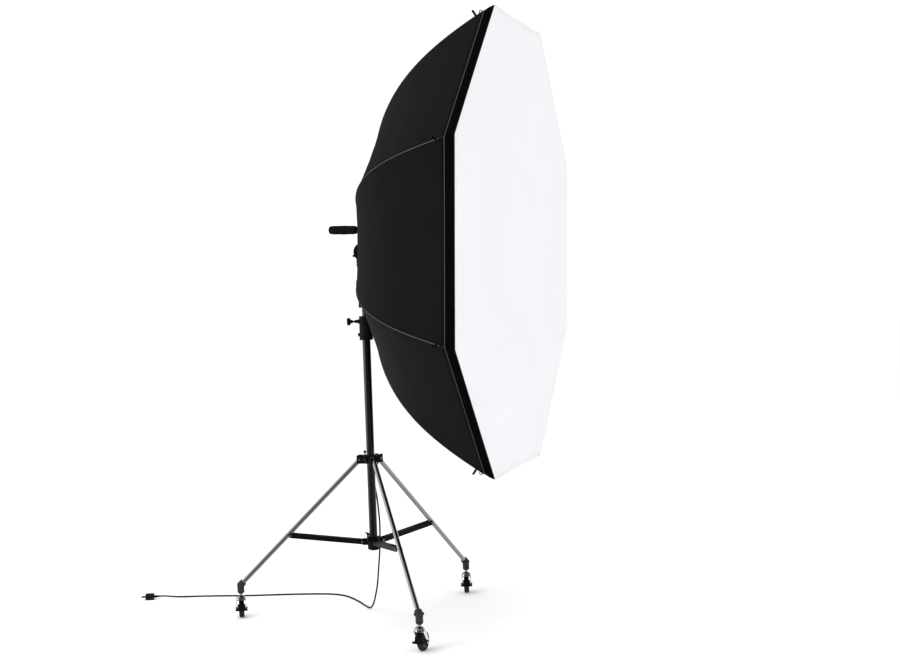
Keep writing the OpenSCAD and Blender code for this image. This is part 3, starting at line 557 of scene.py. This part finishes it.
def ring_profile(name, profile, paint, draw=0.0):
    """An eight-sided ring of cloth: profile is (corner radius, depth) and closes on itself."""
    vertices, places = [], []
    for i, (radius, depth) in enumerate(profile):
        for k in range(8):
            for j in range(panel_columns):
                share = j / panel_columns
                bow = 4 * share * (1 - share)
                vertices.append(on_panel(k, share, radius, depth, -draw * bow, (1, 0)))
                width = 2 * radius * math.sin(corner_turn)
                places.append((depth, (k + share) * width, min(share, 1 - share) * width))
    around, rows = 8 * panel_columns, len(profile)
    faces = [(i * around + j, ((i + 1) % rows) * around + j, ((i + 1) % rows) * around + (j + 1) % around,
              i * around + (j + 1) % around) for i in range(rows) for j in range(around)]
    obj = piece(name, vertices, faces, paint)
    give_cloth_places(obj, places)
    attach(obj, "softbox")
    return obj


def make_rim_band():
    """The plain band that flares from the first seam to the front edge, slightly crowned."""
    outside = [(seam_r + 0.0002, band_w), (seam_r + 0.0064, 0.031), (seam_r + 0.0124, 0.02),
               (rim_r - 0.0018, 0.0095), (rim_r + 0.0003, 0.003), (rim_r + 0.0006, 0.0),
               (rim_r + 0.0001, -0.0012)]
    inside = [(r - band_t, d) for r, d in reversed(outside)]
    obj = ring_profile("rim_band", outside + inside, band_cloth, draw=0.001)
    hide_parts("rim_band_cloth")


def make_diffuser():
    """The white front cloth, stretched from corner to corner, with a rolled hem at its edge."""
    rings, steps = 26, 12
    edge_r, sag = rim_r - 0.009, 0.006
    hem = [(rim_r - 0.006, -0.8 * hem_proud), (rim_r - 0.0034, -hem_proud), (rim_r - 0.0016, -0.0026),
           (rim_r - 0.0008, -0.0014), (rim_r - 0.0009, 0.0006)]
    vertices, places = [face_centre + sag * back], [(0, 0, 1)]
    flat_part = [(edge_r * i / rings, sag * (1 - (i / rings) ** 2)) for i in range(1, rings + 1)]
    for radius, sunk in flat_part + hem:
        reach = min(radius / edge_r, 1)
        for k in range(8):
            for j in range(steps):
                share = j / steps
                to_corner = min(share, 1 - share) * 2
                fade = (1 - to_corner) ** 3 * reach ** 3 * (1 - reach)
                pulls = 4 * crease_depth * fade * math.sin(40 * share + 3 * k)
                vertices.append(on_panel(k, share, radius, sunk + pulls, 0, (0, 0)))
                offset = vertices[-1] - face_centre
                places.append((offset.x, offset.dot(up), (rim_r - radius) * math.cos(corner_turn)))
    around, rings = 8 * steps, rings + len(hem)
    faces = [(0, 1 + (j + 1) % around, 1 + j) for j in range(around)]
    faces += ring_faces(rings, around, first=1)
    obj = piece("diffuser", vertices, faces, diffusing_cloth)
    give_cloth_places(obj, places)
    thicken(obj, diffuser_t, 0)
    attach(obj, "softbox")
    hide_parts("front_diffuser")


def octagon_line(radius, depth, steps=10, draw=0.0):
    """Points round an eight-sided ring, drawn in between the corners."""
    return [on_panel(k, j / steps, radius, depth, -draw * 4 * (j / steps) * (1 - j / steps), (1, 0))
            for k in range(8) for j in range(steps)]


def make_piping():
    """Corded piping over each rib, round the first seam and, thinner, behind the front edge."""
    parts = []
    for k in range(8):
        line = []
        for i in range(37):
            t = 0.012 + 0.983 * i / 36
            q = rib_at(t) + cloth_t * rib_normal(t)
            line.append(at_softbox(q[0], corner(k), q[1]))
        parts.append(tube(line, rib_cording_r, 8, back))
    first_seam = octagon_line(seam_r + cloth_t, band_w + 0.001, draw=0.001)
    front_edge = octagon_line(rim_r + 0.0002, 0.0, draw=0.0008)
    parts += [tube(first_seam, seam_cording_r, 8, back, closed=True),
              tube(front_edge, edge_cording_r, 8, back, closed=True)]
    obj = piece("seam_cording", *merged(parts), piping_cloth, "softbox")
    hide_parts("seam_piping")


def strap(points, width, thick, wide):
    """A flat strap along points; wide is its width's direction."""
    vertices, faces = [], []
    wide = Vector(wide).normalized()
    for point, along in zip(points, directions(points)):
        flat = along.cross(wide).normalized()
        side = flat.cross(along)
        for a, b in ((-1, -1), (1, -1), (1, 1), (-1, 1)):
            vertices.append(point + a * width / 2 * side + b * thick / 2 * flat)
    for i in range(len(points) - 1):
        for k in range(4):
            n = (k + 1) % 4
            faces.append((i * 4 + k, i * 4 + n, (i + 1) * 4 + n, (i + 1) * 4 + k))
    last = 4 * (len(points) - 1)
    faces += [(3, 2, 1, 0), (last, last + 1, last + 2, last + 3)]
    return vertices, faces


def make_rib_tabs():
    """The short webbing loop sewn into each seam beside the rib's end cap, to pull the rib in."""
    tabs = []
    for k in range(8):
        turn, t = corner(k), 0.985
        q, n = rib_at(t), rib_normal(t)
        base = at_softbox(q[0], turn, q[1])
        out = at_softbox(q[0] + n[0], turn, q[1] + n[1]) - base
        ahead = rib_at(t + 0.01)
        along = (at_softbox(ahead[0], turn, ahead[1]) - base).normalized()
        side_view = [(0.001, -0.006), (0.006, -0.005), (0.0105, -0.001),
                     (0.0105, 0.002), (0.006, 0.005), (0.001, 0.006)]
        loop = [base + high * out + shift * along for high, shift in side_view]
        tabs.append(strap(smooth_path(loop, 4), 0.009, 0.0011, out.cross(along)))
    loops = piece("rib_end_tabs", *merged(tabs), tab_webbing, "softbox", smooth=False)


def make_rear_sleeve():
    """Gathered sleeve of cloth with an elastic edge, where the canopy meets the hub."""
    rows, sides, pleats = 9, 144, 24
    vertices, places = [], []
    for i in range(rows):
        share = i / (rows - 1)
        for j in range(sides):
            turn = 2 * math.pi * j / sides
            pleat = 0.0016 * math.sin(pleats * turn) * math.sin(math.pi * share)
            radius = 0.0995 - 0.0082 * share + pleat + 0.002 * math.sin(math.pi * share)
            vertices.append(at_softbox(radius, turn, cloth_depth - 0.003 + 0.016 * share))
            places.append((0.0955 * turn, 0.017 * share, 0.1))
    obj = piece("hub_sleeve", vertices, ring_faces(rows, sides), canopy_cloth)
    give_cloth_places(obj, places)
    thicken(obj, sleeve_t, 1)
    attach(obj, "softbox")
    edge = [at_softbox(0.0918, 2 * math.pi * j / 72, cloth_depth + 0.0135) for j in range(72)]
    band = piece("hub_elastic", *tube(edge, 0.0022, 8, back, closed=True), tab_webbing, "softbox")


# ---------- handle grip ----------

def make_grip():
    """Foam grip with soft rounded ends, gently fuller in the middle."""
    low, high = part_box("handle_grip")
    middle = (low + high) / 2
    length = (high - low).y / math.cos(rest_tilt) * 0.985
    radius = 0.0184
    start = middle - back * length / 2
    profile = [(0.0058, 0.0), (0.0102, 0.0), (0.0136, 0.0012), (0.0158, 0.0042)]
    for i in range(1, 24):
        share = i / 24
        swell = 0.0012 * math.sin(math.pi * share) ** 0.8 + 0.00025 * math.sin(5 * math.pi * share)
        profile.append((radius - 0.0014 + swell, 0.006 + share * (length - 0.014)))
    profile += [(0.0162, length - 0.0055), (0.0148, length - 0.0022), (0.0118, length - 0.0004),
                (0.004, length)]
    side = Vector((1, 0, 0))
    place = Matrix.Translation(start) @ Matrix((side, back.cross(side), back)).transposed().to_4x4()
    obj = piece("foam_grip", *lathe(profile, 48, place), foam, "softbox")
    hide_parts("handle_grip")


# ---------- cords ----------

# (x, y behind the column's axis, height)
cord_route = [
    (0.021, 0.010, 1.2927), (0.021, 0.010, 1.286), (0.024, 0.011, 1.274), (0.030, 0.014, 1.260),
    (0.033, 0.015, 1.244), (0.033, 0.015, 1.200), (0.034, 0.016, 1.120), (0.035, 0.016, 1.000),
    (0.035, 0.016, 0.880), (0.036, 0.016, 0.760), (0.038, 0.014, 0.660), (0.046, 0.008, 0.580),
    (0.061, 0.001, 0.500), (0.072, -0.001, 0.430), (0.078, -0.001, 0.385), (0.084, 0.003, 0.317),
    (0.090, 0.009, 0.257), (0.100, 0.021, 0.178), (0.112, 0.032, 0.120), (0.128, 0.047, 0.074),
    (0.148, 0.064, 0.036), (0.168, 0.082, 0.013), (0.190, 0.101, 0.0044), (0.222, 0.128, 0.0036),
    (0.262, 0.159, 0.0036), (0.306, 0.195, 0.0036), (0.350, 0.235, 0.0036), (0.396, 0.287, 0.0036),
    (0.420, 0.345, 0.0036), (0.418, 0.420, 0.0036), (0.401, 0.508, 0.0036), (0.376, 0.605, 0.0036),
    (0.350, 0.690, 0.0036), (0.331, 0.775, 0.0036), (0.312, 0.875, 0.0036), (0.288, 0.975, 0.0036),
    (0.257, 1.050, 0.0066), (0.236, 1.096, 0.0126), (0.227, 1.119, 0.013)]
lead_turn = math.radians(107)
# (distance from the column's axis, height), all in the plane at lead_turn
lead_route = [(0.0243, 1.4197), (0.027, 1.411), (0.030, 1.400), (0.0315, 1.386), (0.0312, 1.371),
              (0.0285, 1.354), (0.0252, 1.341), (0.0235, 1.334), (0.0235, 1.3266)]


def make_cord():
    path = smooth_path([Vector((x, y + column_y, z)) for x, y, z in cord_route], 4)
    obj = piece("mains_cord", *tube(path, lead_d / 2, cord_sides, (0, 1, 0)), cord_black)
    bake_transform(obj)
    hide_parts("cord")
    round(length_of(path), 3)


def make_lead():
    path = smooth_path([Vector((r * math.cos(lead_turn), r * math.sin(lead_turn) + column_y, z))
                        for r, z in lead_route], 5)
    obj = piece("lamp_cable", *tube(path, lead_d / 2, cord_sides, (0, 0, 1)), cord_black)
    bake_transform(obj)
    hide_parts("lamp_lead")
    round(length_of(path), 4)


# ---------- small fittings ----------

brace_rise, brace_length = math.radians(4.778), 0.30704
rivet_head = [(0.0005, -0.0005), (0.0046, -0.0004), (0.0042, 0.0006), (0.0028, 0.0015), (0.0005, 0.0018)]
rivet_out = 0.0146          # from the brace's middle plane to the head's seat
lip_r = 0.0011


def make_brace_rivets():
    """Rivet heads on both sides of each brace, where it meets its leg."""
    for n in range(1, 4):
        joint = joints[f"brace_fold_{n}"]
        pin = Vector(joint["pos_m"])
        axis = Vector(joint["axis"])
        node = frame["nodes"][f"brace_{n}"]
        points = [v.co for v in node.data.vertices]
        far = max(points, key=lambda p: (Vector((p.x, p.y, 0)) - Vector((0, column_y, 0))).length)
        level = Vector((far.x - pin.x, far.y - pin.y, 0))
        level -= level.dot(axis) * axis
        outer = pin + brace_length * (level.normalized() * math.cos(brace_rise)
                                      + Vector((0, 0, 1)) * math.sin(brace_rise))
        heads = [lathe(rivet_head, 20, Matrix.Translation(outer + side * rivet_out * axis)
                       @ (side * axis).to_track_quat("Z", "Y").to_matrix().to_4x4()) for side in (-1, 1)]
        obj = piece(f"brace_rivets_{n}", *merged(heads), pin_steel, f"brace_{n}")


def make_collar_trim():
    """Turned lips at the two ends of the top collar, and round the cable clip."""
    for node, body, radius in (("top_collar", "stand", 0.0275), ("cable_clip", "riser", 0.027)):
        low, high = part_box(node)
        rings = []
        for z in (low.z + 0.003, high.z - 0.003):
            line = [Vector((radius * math.cos(a), column_y + radius * math.sin(a), z)) for a in
                    (2 * math.pi * k / 64 for k in range(64))]
            rings.append(tube(line, lip_r, 8, (0, 0, 1), closed=True))
        obj = piece(f"{node}_lips", *merged(rings), casting_black, body)


# ---------- room and light ----------

def soft_light(name, place, target, size, power):
    """A square soft light that shiny surfaces don't mirror, because the studio's world has what they mirror."""
    lamp = bpy.data.lights.new(name, "AREA")
    lamp.shape, lamp.size, lamp.energy = "SQUARE", size, power
    obj = bpy.data.objects.new(name, lamp)
    obj.location = place
    obj.rotation_euler = (Vector(target) - Vector(place)).to_track_quat("-Z", "Y").to_euler()
    bpy.context.scene.collection.objects.link(obj)
    obj.visible_glossy = False


ambient, backdrop = 1.04, 1.1
floor_half = 30


def studio_world():
    """Even white light, with another studio for what shiny surfaces mirror."""
    world = bpy.data.worlds.new("studio")
    world.use_nodes = True
    nodes = Nodes(world.node_tree, world.node_tree.nodes["Background"])
    toward = nodes.add("ShaderNodeTexCoord", output=0)

    def facing(turn, rise, inner, outer):
        """1 within the inner angle of that direction, falling to 0 at the outer one."""
        turn, rise = math.radians(turn), math.radians(rise)
        aim = (math.cos(turn) * math.cos(rise), math.sin(turn) * math.cos(rise), math.sin(rise))
        near = nodes.add("ShaderNodeVectorMath", {"operation": "DOT_PRODUCT"}, toward, aim, output=1)
        low, high = math.cos(math.radians(outer)), math.cos(math.radians(inner))
        return nodes.add("ShaderNodeClamp", None, (near - low) * (1 / (high - low)))

    height = nodes.add("ShaderNodeSeparateXYZ", None, toward, output=2)
    below = nodes.add("ShaderNodeClamp", None, (0 - height - 0.03) * 20)
    # what shiny parts mirror below the horizon: the lit floor, with a painted shadow of the stand towards turn
    # 190°, 25° down
    floor_with_painted_shadow = below * (0.33 - 0.3 * facing(190, -25, 12, 38))
    wide_source, strip_light = 0.65 * facing(90, 12, 18, 62), 5.0 * facing(122, 4, 6, 12)
    far_wall = 0.75 * facing(338, 4, 18, 50)
    beside_camera = 2.6 * facing(236, 38, 7, 12) + 2.6 * facing(164, 38, 7, 12)
    mirrored = 0.04 + wide_source + strip_light + far_wall + beside_camera + floor_with_painted_shadow
    seen_directly = nodes.add("ShaderNodeLightPath", output=0)
    seen_mirrored = nodes.add("ShaderNodeLightPath", output=3)
    nodes.set(Color=(1, 1, 1),
              Strength=ambient + (backdrop - ambient) * seen_directly + seen_mirrored * (mirrored - ambient))
    bpy.context.scene.world = world


def make_room():
    """A plain white floor under even light; colours are shown as they are, with no film look."""
    floor_paint = Paint("pale_floor", Specular_IOR_Level=0.0)
    mottle = floor_paint.noise(3, 3)
    floor_paint.set(Base_Color=floor_paint.between(mottle, grey(0.965), grey(0.98)),
                    Roughness=0.8 + 0.1 * mottle)
    corners = [(-floor_half, -floor_half, 0), (floor_half, -floor_half, 0), (floor_half, floor_half, 0),
               (-floor_half, floor_half, 0)]
    floor = piece("floor", corners, [(0, 1, 2, 3)], floor_paint.material, smooth=False)
    floor.visible_glossy = False
    studio_world()
    soft_light("key", (-5.0, 3.0, 3.4), (0, 0, 1.2), size=2.6, power=120)
    soft_light("overhead", (-1.0, 0.5, 6.0), (0, 0, 0), size=5.0, power=90)
    bpy.context.scene.view_settings.view_transform = "Standard"
    bpy.context.scene.view_settings.look = "None"


make_cord()
make_lead()
make_canopy()
make_rim_band()
make_diffuser()
make_piping()
make_rib_tabs()
make_rear_sleeve()
make_grip()
make_brace_rivets()
make_collar_trim()
make_room()
